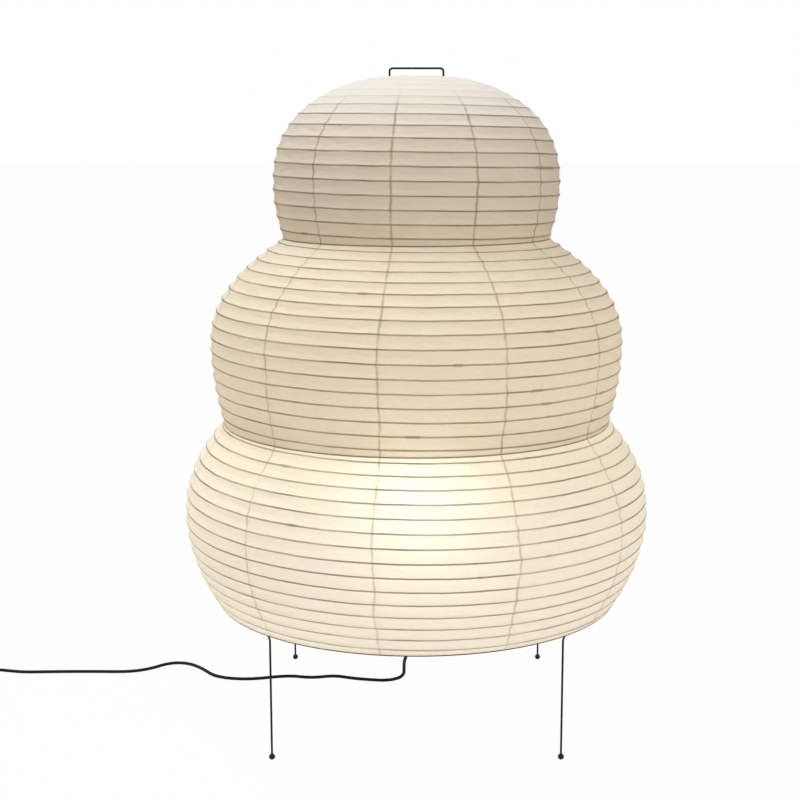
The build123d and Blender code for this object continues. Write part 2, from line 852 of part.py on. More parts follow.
# Coil of the put-away length, in layers that spiral in and out by turns, tied at its far side
coil_radius = coil_middle_diameter / 2 + coil_step * coil_layer_turns / 2
coil_rest = tie_thickness + tie_gap + cord_diameter / 2
tail_start = switch_entry[0] - switch_length
coil_centre = (tail_start - tail_run, switch_line - coil_radius)
cycle_turns = coil_layer_turns + coil_climb_turns
coil_turns = coil_layers * cycle_turns - coil_climb_turns


def coil_place(turn):
    """Middle of the coiled cord after a number of turns."""
    layer = min(int(turn / cycle_turns), coil_layers - 1)
    in_layer = min(turn - layer * cycle_turns, coil_layer_turns)
    climb = (turn - layer * cycle_turns - in_layer) / coil_climb_turns
    drawn_in = coil_step * in_layer
    if layer % 2:
        drawn_in = coil_step * coil_layer_turns - drawn_in
    radius = coil_radius - drawn_in
    level = coil_rest + coil_layer_height * (layer + climb * climb * (3 - 2 * climb))
    angle = math.radians(90 + 360 * turn)
    away = Vector(radius * math.cos(angle), radius * math.sin(angle), level)
    return Vector(*coil_centre) + away


with BuildPart() as cord_coil:
    with BuildLine() as coil_line:
        winding_arcs(coil_place, 0, coil_turns, math.ceil(4 * coil_turns), cord_diameter)
    with BuildSketch(square_to(coil_line.wire() @ 0, coil_line.wire() % 0)):
        Circle(cord_diameter / 2)
    sweep(path=coil_line.wire())
write(cord_coil.part, "cord_coil")
coil_gap = least_gap(coil_line, cord_diameter, math.pi * coil_middle_diameter)
coil_length = coil_line.wire().length
print(f"cord coil: {coil_turns:.2f} turns, {coil_length:.0f} mm, least gap to itself {coil_gap:.2f} mm")

coil_start = coil_line.wire() @ 0
coil_finish = coil_line.wire() @ 1
coil_lead = (coil_line.wire() % 0) * (square_run - cord_diameter)
coil_leave = (coil_line.wire() % 1) * (square_run - cord_diameter)
cord_tube(
    [
        (tail_start, switch_line, switch_axis),
        (tail_start - square_run, switch_line, switch_axis),
        tuple(coil_start - coil_lead),
        tuple(coil_start),
    ],
    "cord_tail",
)

tie_height = (coil_layers - 1) * coil_layer_height + cord_diameter + 2 * tie_gap
tie_reach = coil_step * coil_layer_turns + cord_diameter + 2 * tie_gap
tie_plane = Plane(
    origin=(coil_centre[0] - coil_middle_diameter / 2, coil_centre[1], tie_thickness + tie_height / 2),
    x_dir=(1, 0, 0),
    z_dir=(0, -1, 0),
)
with BuildPart() as coil_tie:
    with BuildSketch(tie_plane):
        tie_inside = RectangleRounded(tie_reach, tie_height, tie_corner)
        offset(tie_inside, amount=tie_thickness)
        add(tie_inside, mode=Mode.SUBTRACT)
    extrude(amount=tie_width / 2, both=True)
write(coil_tie.part, "coil_tie")

# Plug beside the coil, with its tapered neck, and two round pins
plug_axis = plug_thickness / 2
plug_neck_start = (coil_finish.X + end_run, coil_finish.Y)
cord_tube(
    [
        tuple(coil_finish),
        tuple(coil_finish + coil_leave),
        (plug_neck_start[0] - square_run, plug_neck_start[1], plug_axis),
        (plug_neck_start[0], plug_neck_start[1], plug_axis),
    ],
    "cord_end",
)

neck_plane = Plane(origin=(plug_neck_start[0], plug_neck_start[1], plug_axis), z_dir=(1, 0, 0))
body_plane = neck_plane.offset(plug_neck_length)
pin_plane = body_plane.offset(plug_length)
with BuildPart() as plug_body:
    with BuildSketch(body_plane):
        RectangleRounded(plug_thickness, plug_width, plug_corner)
    extrude(amount=plug_length)
    fillet(plug_body.edges().group_by(Axis.X)[0], plug_corner / 2)
    with BuildSketch(neck_plane):
        Circle(relief_end_diameter / 2)
    with BuildSketch(body_plane):
        Circle(plug_neck_diameter / 2)
    loft()
write(plug_body.part, "plug_body")

with BuildPart() as plug_pins:
    with BuildSketch(pin_plane):
        with GridLocations(0, plug_pin_spacing, 1, 2):
            Circle(plug_pin_diameter / 2)
    extrude(amount=plug_pin_length + plug_pin_tip)
    chamfer(plug_pins.edges().group_by(Axis.X)[-1], plug_pin_tip)
write(plug_pins.part, "plug_pins")

print(f"overall height {handle_level + stretcher_wire / 2:.1f} mm, across {2 * bottom_belly_radius:.1f} mm")
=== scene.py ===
# %% [markdown]
# # A paper lamp, lit from inside
#
# The lamp is three swelling tiers of thin paper over a bamboo strip that winds round and round.
# Bent black wire holds the shade open and comes out at the top as a handle, and four thin wire legs
# carry the lowest ring. This file dresses the construction model: paper, bamboo, lacquered wire, bulb
# and cord each get their own shape or finish.

# %% The frame that everything is fitted to
import bpy
import math
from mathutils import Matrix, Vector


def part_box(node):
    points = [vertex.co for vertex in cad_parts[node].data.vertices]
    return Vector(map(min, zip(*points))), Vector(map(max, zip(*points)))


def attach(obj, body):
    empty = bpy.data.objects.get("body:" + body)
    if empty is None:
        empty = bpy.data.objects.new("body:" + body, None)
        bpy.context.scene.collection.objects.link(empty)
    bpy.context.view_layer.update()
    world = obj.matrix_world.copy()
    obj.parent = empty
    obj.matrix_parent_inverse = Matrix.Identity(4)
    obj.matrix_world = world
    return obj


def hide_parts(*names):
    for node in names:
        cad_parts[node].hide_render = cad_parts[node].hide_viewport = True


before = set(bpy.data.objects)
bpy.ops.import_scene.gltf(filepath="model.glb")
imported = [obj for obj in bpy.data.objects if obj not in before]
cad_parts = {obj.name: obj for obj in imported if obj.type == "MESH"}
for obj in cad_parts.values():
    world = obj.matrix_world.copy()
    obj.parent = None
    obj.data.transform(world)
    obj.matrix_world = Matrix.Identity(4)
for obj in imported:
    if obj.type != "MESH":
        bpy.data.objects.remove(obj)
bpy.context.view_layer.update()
scene = bpy.context.scene
scene.view_settings.view_transform = "Standard"

# %% [markdown]
# ## Camera
#
# The picture was taken from a little under the height of the handle, looking slightly down. A lens
# of 66 mm at one and a half metres gives the same narrowing towards the floor, and a small sideways
# shift puts the lamp where the picture has it, a little right of the middle.

# %% Camera
camera = bpy.data.objects.new("camera", bpy.data.cameras.new("camera"))
camera.data.lens = 66.15
camera.data.sensor_width = 36.0
camera.data.shift_x = -0.0206
camera.location = (0.0, -1.470, 0.585)
camera.rotation_euler = (math.radians(80.0), 0.0, 0.0)
scene.collection.objects.link(camera)
scene.camera = camera
print("camera at", tuple(camera.location))

# %% [markdown]
# ## Helpers for node trees
#
# Every finish below is a tree of nodes, and so are the paper and its strips. Small helpers keep the
# code short: one adds a node and fills its inputs, three do sums, spans and blends of colour, and one
# makes a group with named sockets. An input that gets a number keeps it on its own socket, and one
# that gets another node's output is linked to it.

# %% Node helpers
def node(tree, kind, inputs=None, **settings):
    """Add a node, set its properties, and fill or link its inputs by name or place."""
    made = tree.nodes.new(kind)
    for name, value in settings.items():
        setattr(made, name, value)
    for key, value in (inputs or {}).items():
        if isinstance(value, bpy.types.NodeSocket):
            tree.links.new(value, made.inputs[key])
        else:
            made.inputs[key].default_value = value
    return made


def calc(tree, operation, first, second=None, third=None):
    """Arithmetic on values: the result's socket."""
    terms = enumerate((first, second, third))
    values = {place: value for place, value in terms if value is not None}
    return node(tree, "ShaderNodeMath", values, operation=operation).outputs[0]


def spread(tree, value, low, high, to_low=0.0, to_high=1.0, soft=False):
    """Map a value from one span to another, held at its ends."""
    inputs = {"Value": value, "From Min": low, "From Max": high, "To Min": to_low, "To Max": to_high}
    kind = "SMOOTHSTEP" if soft else "LINEAR"
    made = node(tree, "ShaderNodeMapRange", inputs, interpolation_type=kind, clamp=True)
    return made.outputs["Result"]


def blend_colour(tree, factor, first, second, how="MIX"):
    """Mix two colours by a factor: the result's socket."""
    inputs = {"Factor": factor, 6: first, 7: second}
    made = node(tree, "ShaderNodeMix", inputs, data_type="RGBA", blend_type=how)
    return made.outputs[2]


def make_group(name, kind, inputs, outputs):
    """A node group with named sockets; gives the tree and its two end nodes."""
    tree = bpy.data.node_groups.new(name, kind)
    for label, socket, value in inputs:
        made = tree.interface.new_socket(label, in_out="INPUT", socket_type=socket)
        if value is not None:
            made.default_value = value
    for label, socket in outputs:
        tree.interface.new_socket(label, in_out="OUTPUT", socket_type=socket)
    return tree, tree.nodes.new("NodeGroupInput"), tree.nodes.new("NodeGroupOutput")


VALUE = "NodeSocketFloat"
WHOLE = "NodeSocketInt"
SHAPE = "NodeSocketGeometry"
FINISH = "NodeSocketMaterial"

# %% [markdown]
# ## The shade's profile
#
# Each tier is a curve of radius and height that is turned round the lamp's axis. The curve swells
# from the tier's edges to its belly by a power of a sine, as the construction model's does, so the
# paper lies where its solid is. The bamboo strip winds down each curve with a steady pitch.

# %% Sizes of the shade, in metres
TIERS = {
    "top": {
        "edge": (0.0300, 0.6465), "belly": (0.1420, 0.5420), "foot": (0.1325, 0.4907),
        "powers": (2.5, 1.7), "margin": 0.009,
    },
    "middle": {
        "edge": (0.1325, 0.4903), "belly": (0.2060, 0.3870), "foot": (0.1940, 0.3077),
        "powers": (2.2, 1.0), "margin": 0.004,
    },
    "bottom": {
        "edge": (0.1940, 0.3073), "belly": (0.2340, 0.2160), "foot": (0.2045, 0.1277),
        "powers": (2.2, 1.0), "margin": 0.004,
    },
}
LOWER_POWERS = (1.9, 1.0)
RIB_PITCH = 0.0132
RIB_END_ANGLE = math.radians(-15.0)
RIB_DEPTH = 0.00145
RIB_DIAMETER = 0.0014
EDGE_MARGIN = 0.004
GORES = 11
SEAM_ANGLE = math.radians(-99.5)
WAIST_LEVELS = (0.4905, 0.3075)


def half_curve(edge, belly, height_power, width_power, count=160):
    """Half a tier's profile, from its edge to its belly."""
    points = []
    for step in range(count + 1):
        turn = math.pi / 2 * (1 - step / count)
        rise = math.sin(turn) ** (2 / height_power)
        swell = max(math.cos(turn), 0.0) ** (2 / width_power)
        radius = edge[0] + (belly[0] - edge[0]) * swell
        points.append((radius, 0.0, belly[1] + (edge[1] - belly[1]) * rise))
    return points


def profile_line(name, tier):
    """A mesh line with a tier's profile, for the node trees to read."""
    upper = half_curve(tier["edge"], tier["belly"], *tier["powers"])
    lower = half_curve(tier["foot"], tier["belly"], *LOWER_POWERS)
    points = upper + lower[-2::-1]
    mesh = bpy.data.meshes.new(name)
    mesh.from_pydata(points, [(n, n + 1) for n in range(len(points) - 1)], [])
    steps = list(zip(points, points[1:]))
    tier["length"] = sum(math.dist(a, b) for a, b in steps)
    tier["area"] = sum(math.pi * (a[0] + b[0]) * math.dist(a, b) for a, b in steps)
    tier["turns"] = (tier["length"] - tier["margin"] - EDGE_MARGIN) / RIB_PITCH
    made = bpy.data.objects.new(name, mesh)
    scene.collection.objects.link(made)
    return made


def run_tree(carrier, tree, settings, name):
    """Run a geometry tree on a carrier object and keep the result as a plain mesh object."""
    modifier = carrier.modifiers.new("tree", "NODES")
    modifier.node_group = tree
    for socket in tree.interface.items_tree:
        if socket.in_out == "INPUT" and socket.name in settings:
            modifier[socket.identifier] = settings[socket.name]
    graph = bpy.context.evaluated_depsgraph_get()
    mesh = bpy.data.meshes.new_from_object(carrier.evaluated_get(graph))
    carrier.modifiers.remove(modifier)
    mesh.name = name
    made = bpy.data.objects.new(name, mesh)
    scene.collection.objects.link(made)
    print(name, len(mesh.polygons), "faces")
    return made


# %% [markdown]
# ## Finishes for hard pieces
#
# Lacquered wire, moulded plastic, rubber, metal and bamboo all have the same two things: a tone that
# wanders slowly and a fine grain. One node group gives both, and each material takes them with its
# own scale and its own two colours. A second group gives the threads that hardly show, on the nipple
# and inside the lampholder.

# %% Group: surface grain
grain_tree, grain_in, grain_out = make_group(
    "surface_grain",
    "ShaderNodeTree",
    [("Patch Scale", VALUE, 40.0), ("Grain Scale", VALUE, 900.0), ("Stretch", VALUE, 1.0)],
    [("Tone", VALUE), ("Grain", VALUE)],
)
grain_place = node(grain_tree, "ShaderNodeTexCoord").outputs["Object"]
grain_stretch = node(
    grain_tree, "ShaderNodeCombineXYZ", {0: 1.0, 1: 1.0, 2: grain_in.outputs["Stretch"]}
).outputs[0]
stretched = node(
    grain_tree, "ShaderNodeVectorMath", {0: grain_place, 1: grain_stretch}, operation="MULTIPLY"
).outputs[0]
patches = node(
    grain_tree, "ShaderNodeTexNoise",
    {
        "Vector": stretched, "Scale": grain_in.outputs["Patch Scale"],
        "Detail": 4.0, "Roughness": 0.6,
    },
)
grains = node(
    grain_tree, "ShaderNodeTexNoise",
    {"Vector": stretched, "Scale": grain_in.outputs["Grain Scale"], "Detail": 3.0},
)
grain_tree.links.new(spread(grain_tree, patches.outputs[0], 0.3, 0.7), grain_out.inputs["Tone"])
grain_tree.links.new(grains.outputs[0], grain_out.inputs["Grain"])


# %% Group: screw thread round the lamp's axis
BULB_PITCH = 0.00362
NIPPLE_PITCH = 0.001
thread_tree, thread_in, thread_out = make_group(
    "screw_thread", "ShaderNodeTree", [("Pitch", VALUE, BULB_PITCH)], [("Height", VALUE)]
)
thread_spot = node(thread_tree, "ShaderNodeTexCoord").outputs["Object"]
thread_place = node(thread_tree, "ShaderNodeSeparateXYZ", {0: thread_spot}).outputs
thread_turn = calc(thread_tree, "ARCTAN2", thread_place[1], thread_place[0])
thread_rise = calc(thread_tree, "MULTIPLY", thread_place[2], 2 * math.pi)
thread_rise = calc(thread_tree, "DIVIDE", thread_rise, thread_in.outputs["Pitch"])
thread_wave = calc(thread_tree, "SINE", calc(thread_tree, "SUBTRACT", thread_rise, thread_turn))
thread_height = calc(thread_tree, "MULTIPLY_ADD", thread_wave, 0.5, 0.5)
thread_tree.links.new(thread_height, thread_out.inputs["Height"])


# %% Making a hard finish
GRAIN_SHARE = 0.35
GRAIN_RELIEF = 0.0004
THREAD_RELIEF_SHARE = 0.3


def hard_finish(
    name, dark, light, rough, patch, grain, stretch=1.0, bump=0.2, metallic=0.0, gloss=0.5, pitch=0.0
):
    """A material with the grain group's colour, roughness and bump, and a thread if it has a pitch."""
    material = bpy.data.materials.new(name)
    material.use_nodes = True
    tree = material.node_tree
    shader = tree.nodes["Principled BSDF"]
    texture = node(tree, "ShaderNodeGroup", node_tree=grain_tree)
    texture.inputs["Patch Scale"].default_value = patch
    texture.inputs["Grain Scale"].default_value = grain
    texture.inputs["Stretch"].default_value = stretch
    fine = texture.outputs["Grain"]
    tone = calc(tree, "MULTIPLY_ADD", fine, GRAIN_SHARE, texture.outputs["Tone"])
    tree.links.new(blend_colour(tree, tone, (*dark, 1.0), (*light, 1.0)), shader.inputs["Base Color"])
    tree.links.new(spread(tree, tone, 0.0, 1.0 + GRAIN_SHARE, *rough), shader.inputs["Roughness"])
    relief = node(tree, "ShaderNodeBump", {"Strength": bump, "Distance": GRAIN_RELIEF, "Height": fine})
    if pitch:
        thread = node(tree, "ShaderNodeGroup", node_tree=thread_tree)
        thread.inputs["Pitch"].default_value = pitch
        relief = node(
            tree, "ShaderNodeBump",
            {
                "Strength": 1.0, "Distance": THREAD_RELIEF_SHARE * pitch,
                "Height": thread.outputs["Height"], "Normal": relief.outputs[0],
            },
        )
    tree.links.new(relief.outputs[0], shader.inputs["Normal"])
    shader.inputs["Metallic"].default_value = metallic
    shader.inputs["Specular IOR Level"].default_value = gloss
    return material


lacquer = hard_finish(
    "black_lacquer", dark=(0.003, 0.003, 0.004), light=(0.010, 0.010, 0.011), rough=(0.40, 0.58),
    patch=30, grain=700, gloss=0.12,
)
hem_lacquer = hard_finish(
    "hem_lacquer", dark=(0.045, 0.040, 0.029), light=(0.110, 0.097, 0.070), rough=(0.50, 0.72),
    patch=25, grain=600, gloss=0.15,
)
foot_finish = hard_finish(
    "foot_enamel", dark=(0.003, 0.003, 0.004), light=(0.010, 0.010, 0.011), rough=(0.25, 0.40),
    patch=120, grain=1500, gloss=0.2,
)
bamboo = hard_finish(
    "bamboo", dark=(0.23, 0.15, 0.08), light=(0.46, 0.34, 0.20), rough=(0.45, 0.70),
    patch=60, grain=900, stretch=0.2, bump=0.5,
)
zinc = hard_finish(
    "zinc_plate", dark=(0.50, 0.49, 0.45), light=(0.72, 0.71, 0.68), rough=(0.25, 0.45),
    patch=120, grain=1600, metallic=1.0,
)
zinc_thread = hard_finish(
    "zinc_thread", dark=(0.48, 0.47, 0.43), light=(0.70, 0.69, 0.66), rough=(0.28, 0.48),
    patch=120, grain=1600, metallic=1.0, pitch=NIPPLE_PITCH,
)
moulding = hard_finish(
    "holder_moulding", dark=(0.012, 0.012, 0.013), light=(0.032, 0.032, 0.034), rough=(0.28, 0.42),
    patch=60, grain=1300, bump=0.1,
)
porcelain = hard_finish(
    "porcelain", dark=(0.72, 0.69, 0.62), light=(0.86, 0.84, 0.79), rough=(0.35, 0.55),
    patch=80, grain=1200,
)
brass = hard_finish(
    "rolled_brass", dark=(0.52, 0.37, 0.15), light=(0.76, 0.59, 0.30), rough=(0.25, 0.45),
    patch=150, grain=1500, metallic=1.0,
)
brass_thread = hard_finish(
    "brass_thread", dark=(0.50, 0.36, 0.15), light=(0.74, 0.58, 0.30), rough=(0.25, 0.45),
    patch=150, grain=1500, metallic=1.0, pitch=BULB_PITCH,
)
cap_metal = hard_finish(
    "cap_metal", dark=(0.55, 0.55, 0.54), light=(0.80, 0.80, 0.79), rough=(0.20, 0.40),
    patch=150, grain=1700, metallic=1.0,
)
tip_metal = hard_finish(
    "tip_metal", dark=(0.50, 0.50, 0.48), light=(0.74, 0.74, 0.72), rough=(0.30, 0.50),
    patch=200, grain=1900, metallic=1.0,
)
black_glass = hard_finish(
    "black_glass", dark=(0.010, 0.010, 0.012), light=(0.030, 0.030, 0.035), rough=(0.10, 0.25),
    patch=150, grain=900,
)
cord_rubber = hard_finish(
    "cord_rubber", dark=(0.003, 0.003, 0.004), light=(0.011, 0.011, 0.012), rough=(0.50, 0.70),
    patch=50, grain=1500, gloss=0.12,
)
switch_plastic = hard_finish(
    "switch_plastic", dark=(0.008, 0.008, 0.009), light=(0.022, 0.022, 0.024), rough=(0.45, 0.62),
    patch=90, grain=2200, bump=0.3, gloss=0.3,
)
tie_plastic = hard_finish(
    "tie_plastic", dark=(0.030, 0.030, 0.031), light=(0.070, 0.070, 0.072), rough=(0.35, 0.55),
    patch=200, grain=1800,
)
nickel = hard_finish(
    "nickel_plate", dark=(0.62, 0.60, 0.56), light=(0.82, 0.81, 0.78), rough=(0.12, 0.28),
    patch=200, grain=1800, metallic=1.0,
)
print("hard finishes ready")


# %% Bulb glass and its lit strips
def lit_finish(name, dark, light, strength):
    """A pale material that gives light, a little uneven over its surface."""
    material = hard_finish(name, dark, light, rough=(0.25, 0.40), patch=60, grain=800, bump=0.05)
    tree = material.node_tree
    shader = tree.nodes["Principled BSDF"]
    tree.links.new(shader.inputs["Base Color"].links[0].from_socket, shader.inputs["Emission Color"])
    shader.inputs["Emission Strength"].default_value = strength
    return material


opal = lit_finish("opal_glass", dark=(0.95, 0.88, 0.74), light=(1.0, 0.95, 0.85), strength=11.0)
lit_strip = lit_finish("lit_strip", dark=(0.95, 0.72, 0.38), light=(1.0, 0.85, 0.55), strength=6.0)
stem_glass = hard_finish(
    "stem_glass", dark=(0.80, 0.78, 0.72), light=(0.93, 0.91, 0.86), rough=(0.08, 0.20),
    patch=90, grain=900, bump=0.05,
)

# %% Which node gets which finish
CORNERS = ("rear_right", "rear_left", "front_left", "front_right")
FINISHES = {
    lacquer: [
        "cross_bar", *[f"{corner}_leg" for corner in CORNERS], "top_hoop", "left_stretcher",
        "right_stretcher", "top_handle", "left_stretcher_socket", "right_stretcher_socket",
    ],
    hem_lacquer: ["base_ring"],
    foot_finish: [f"{corner}_foot" for corner in CORNERS],
    bamboo: ["upper_waist_hoop", "lower_waist_hoop"],
    zinc: ["nipple_washer", "nipple_nut", "switch_screws", "rocker_pin"],
    zinc_thread: ["threaded_nipple"],
    moulding: ["holder_cap", "holder_body", "holder_ring"],
    porcelain: ["contact_block"],
    brass: ["centre_contact"],
    brass_thread: ["screw_shell"],
    tip_metal: ["bulb_tip"],
    black_glass: ["bulb_insulator"],
    opal: ["bulb_glass"],
    stem_glass: ["bulb_stem"],
    lit_strip: ["bulb_filaments"],
    cord_rubber: ["strain_relief"],
    switch_plastic: ["switch_base", "switch_cover", "switch_rocker", "plug_body"],
    tie_plastic: ["coil_tie"],
    nickel: ["plug_pins"],
}
for material, names in FINISHES.items():
    for name in names:
        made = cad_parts[name]
        made.data.materials.clear()
        made.data.materials.append(material)
print("nodes with a finish", sum(len(names) for names in FINISHES.values()))

# %% [markdown]
# ## The bulb's screw cap
#
# The cap is thin metal with a round thread rolled into it, so its inside follows its outside. The
# thread is right-handed and climbs by as much a turn as the bulb does when it is screwed out. It runs
# out before both ends, where the cap grips the glass neck and the black glass below.

# %% Screw cap
CAP_WALL = 0.0005
CAP_THREAD_DEPTH = 0.0009
CAP_SIDES = 72
CAP_ROWS = 80
CAP_PLAIN_TOP = 0.0045
CAP_PLAIN_FOOT = 0.0006
CAP_RUN_OUT = 0.0016
CAP_SHARP_EDGE = math.radians(50)

cap_low, cap_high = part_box("bulb_cap")
cap_radius = (cap_high[0] - cap_low[0]) / 2
cap_points, cap_faces = [], []
for inset in (0.0, CAP_WALL):
    for row in range(CAP_ROWS + 1):
        level = cap_low[2] + (cap_high[2] - cap_low[2]) * row / CAP_ROWS
        from_top = (cap_high[2] - level - CAP_PLAIN_TOP) / CAP_RUN_OUT
        from_foot = (level - cap_low[2] - CAP_PLAIN_FOOT) / CAP_RUN_OUT
        depth = CAP_THREAD_DEPTH * min(max(min(from_top, from_foot), 0.0), 1.0)
        for side in range(CAP_SIDES):
            turn = 2 * math.pi * side / CAP_SIDES
            groove = 0.5 - 0.5 * math.cos(2 * math.pi * level / BULB_PITCH - turn)
            radius = cap_radius - inset - depth * groove
            cap_points.append((radius * math.cos(turn), radius * math.sin(turn), level))

# The outside's rows come first, then the inside's; the last faces close the two rims
inside = (CAP_ROWS + 1) * CAP_SIDES
rim = CAP_ROWS * CAP_SIDES
for side in range(CAP_SIDES):
    beside = (side + 1) % CAP_SIDES
    for row in range(CAP_ROWS):
        low, high = row * CAP_SIDES, (row + 1) * CAP_SIDES
        wall = (low + side, low + beside, high + beside, high + side)
        cap_faces.append(wall)
        cap_faces.append(tuple(inside + corner for corner in (wall[1], wall[0], wall[3], wall[2])))
    cap_faces.append((rim + side, rim + beside, inside + rim + beside, inside + rim + side))
    cap_faces.append((beside, side, inside + side, inside + beside))
cap_mesh = bpy.data.meshes.new("threaded_cap")
cap_mesh.from_pydata(cap_points, [], cap_faces)
cap_mesh.shade_smooth()
cap_mesh.set_sharp_from_angle(angle=CAP_SHARP_EDGE)
cap_mesh.materials.append(cap_metal)
threaded_cap = bpy.data.objects.new("threaded_cap", cap_mesh)
scene.collection.objects.link(threaded_cap)
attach(threaded_cap, "bulb")
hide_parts("bulb_cap")
print("screw cap", len(cap_mesh.polygons), "faces")

# %% [markdown]
# ## The cord
#
# A thin black mains cord drops from under the lampholder, touches the floor behind the middle of the
# lamp and wanders off to the left. The part that the picture doesn't show is put away: it runs
# through the hand switch, is wound into a small coil and ends in the plug. One smooth spline makes
# all of it, with the route's points as its control points. They are in millimetres, as the
# construction model's are.

# %% Cord's route
CORD_DIAMETER = 0.0036
LEAD = [
    (0, 0, 92.4), (0, 0, 74.8), (-7, 14, 55.4), (-13, 33, 37.9), (-13.5, 47, 23.5),
    (-13.5, 55.5, 12.5), (-20, 61.5, 5.5), (-34, 64.5, 2.0), (-52, 67.5, 1.9), (-70, 71.5, 1.9),
    (-91, 80.5, 1.9), (-116, 72.5, 1.9), (-142, 81, 1.9), (-185, 67, 1.9), (-222, 75.5, 1.9),
    (-239, 101, 1.9), (-258.5, 120, 1.9), (-280, 120.5, 1.9), (-297, 102.5, 1.9), (-319, 91.5, 1.9),
    (-360, 92.9, 1.9), (-408, 92.2, 1.9), (-438, 90.6, 1.9), (-458, 89, 4.6), (-476, 88.4, 6.5),
    (-490, 88.4, 6.5),
]
TAIL = [(-552.0, 88.4, 6.5), (-566.0, 88.4, 6.5), (-584.0, 88.4, 3.0)]
COIL_LAYERS = 4
COIL_LAYER_TURNS = 1.75
COIL_CLIMB_TURNS = 0.5
COIL_STEP = 4.7
COIL_LAYER_HEIGHT = 4.4
COIL_REST = 2.9
COIL_MIDDLE_DIAMETER = 41.4
COIL_RADIUS = COIL_MIDDLE_DIAMETER / 2 + COIL_STEP * COIL_LAYER_TURNS / 2
COIL_BEYOND_SWITCH = 44.0
COIL_CENTRE = (TAIL[0][0] - COIL_BEYOND_SWITCH, TAIL[0][1] - COIL_RADIUS)
POINTS_PER_TURN = 16
SPLINE_CUT = math.cos(math.pi / POINTS_PER_TURN) ** 0.75
END_START = (-578.5, 15.6)
PLUG_NECK = (-546.402, 6.85)
PLUG_NECK_RUN = 14.0


def coil_point(turn):
    """Middle of the coiled cord after a number of turns, in millimetres."""
    cycle = COIL_LAYER_TURNS + COIL_CLIMB_TURNS
    layer = min(int(turn / cycle), COIL_LAYERS - 1)
    in_layer = min(turn - layer * cycle, COIL_LAYER_TURNS)
    climb = (turn - layer * cycle - in_layer) / COIL_CLIMB_TURNS
    drawn_in = COIL_STEP * in_layer
    if layer % 2:
        drawn_in = COIL_STEP * COIL_LAYER_TURNS - drawn_in
    radius = (COIL_RADIUS - drawn_in) / SPLINE_CUT
    level = COIL_REST + COIL_LAYER_HEIGHT * (layer + climb * climb * (3 - 2 * climb))
    angle = math.radians(90 + 360 * turn)
    across, along = radius * math.cos(angle), radius * math.sin(angle)
    return (COIL_CENTRE[0] + across, COIL_CENTRE[1] + along, level)


coil_turns = COIL_LAYERS * (COIL_LAYER_TURNS + COIL_CLIMB_TURNS) - COIL_CLIMB_TURNS
coil_count = round(coil_turns * POINTS_PER_TURN)
coil_points = [coil_point(coil_turns * n / coil_count) for n in range(coil_count + 1)]
end_y = coil_points[-1][1]
end_points = [
    (END_START[0], end_y, END_START[1]), (PLUG_NECK[0] - PLUG_NECK_RUN, end_y, PLUG_NECK[1]),
    (PLUG_NECK[0], end_y, PLUG_NECK[1]),
]
route = LEAD + TAIL + coil_points + end_points
print("cord points", len(route))

# %% Cord
cord_curve = bpy.data.curves.new("cord", "CURVE")
cord_curve.dimensions = "3D"
spline = cord_curve.splines.new("NURBS")
spline.points.add(len(route) - 1)
for point, spot in zip(spline.points, route):
    point.co = (spot[0] / 1000, spot[1] / 1000, spot[2] / 1000, 1.0)
spline.order_u = 3
spline.use_endpoint_u = True
spline.resolution_u = 4
cord_curve.bevel_depth = CORD_DIAMETER / 2
cord_curve.bevel_resolution = 3
cord_curve.use_fill_caps = True
cord_curve.materials.append(cord_rubber)
cord = bpy.data.objects.new("cord", cord_curve)
scene.collection.objects.link(cord)
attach(cord, "lamp")
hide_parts("cord_lead", "cord_tail", "cord_coil", "cord_end")

# %% [markdown]
# ## The paper's pattern
#
# Three things show in the paper: the bamboo strip behind it as a thin brownish line, which is a small
# ridge and painted shade of the strip seen through the sheet, the joints between the gores as
# wavering upright lines where two layers overlap, and the fibres of the sheet itself. The sheet carries
# a map whose first number counts gores and whose second counts turns of the strip, so the lines follow
# the surface. The group turns that map into masks.

# %% Group: paper pattern
paper_tree, paper_in, paper_out = make_group(
    "paper_pattern",
    "ShaderNodeTree",
    [
        ("Rib Half Width", VALUE, 0.00048), ("Seam Half Width", VALUE, 0.0006),
        ("Lap Width", VALUE, 0.005),
    ],
    [(label, VALUE) for label in ("Rib", "Seam", "Lap", "Fibre", "Cloud", "Height")],
)
sheet_map = node(paper_tree, "ShaderNodeUVMap", uv_map="SheetMap").outputs[0]
map_parts = node(paper_tree, "ShaderNodeSeparateXYZ", {0: sheet_map})
gore_place, turn_place = map_parts.outputs[0], map_parts.outputs[1]
paper_place = node(paper_tree, "ShaderNodeTexCoord").outputs["Object"]
place_parts = node(paper_tree, "ShaderNodeSeparateXYZ", {0: paper_place})


def paper_noise(scale, detail=2.0, place=paper_place, rough=0.5):
    """Noise over the sheet, by object place."""
    inputs = {"Vector": place, "Scale": scale, "Detail": detail, "Roughness": rough}
    return node(paper_tree, "ShaderNodeTexNoise", inputs).outputs[0]


def away_from_whole(value):
    """How far a counted place is from the nearest whole number, 0 to one half."""
    shifted = calc(paper_tree, "FRACT", calc(paper_tree, "ADD", value, 0.5))
    return calc(paper_tree, "ABSOLUTE", calc(paper_tree, "SUBTRACT", shifted, 0.5))
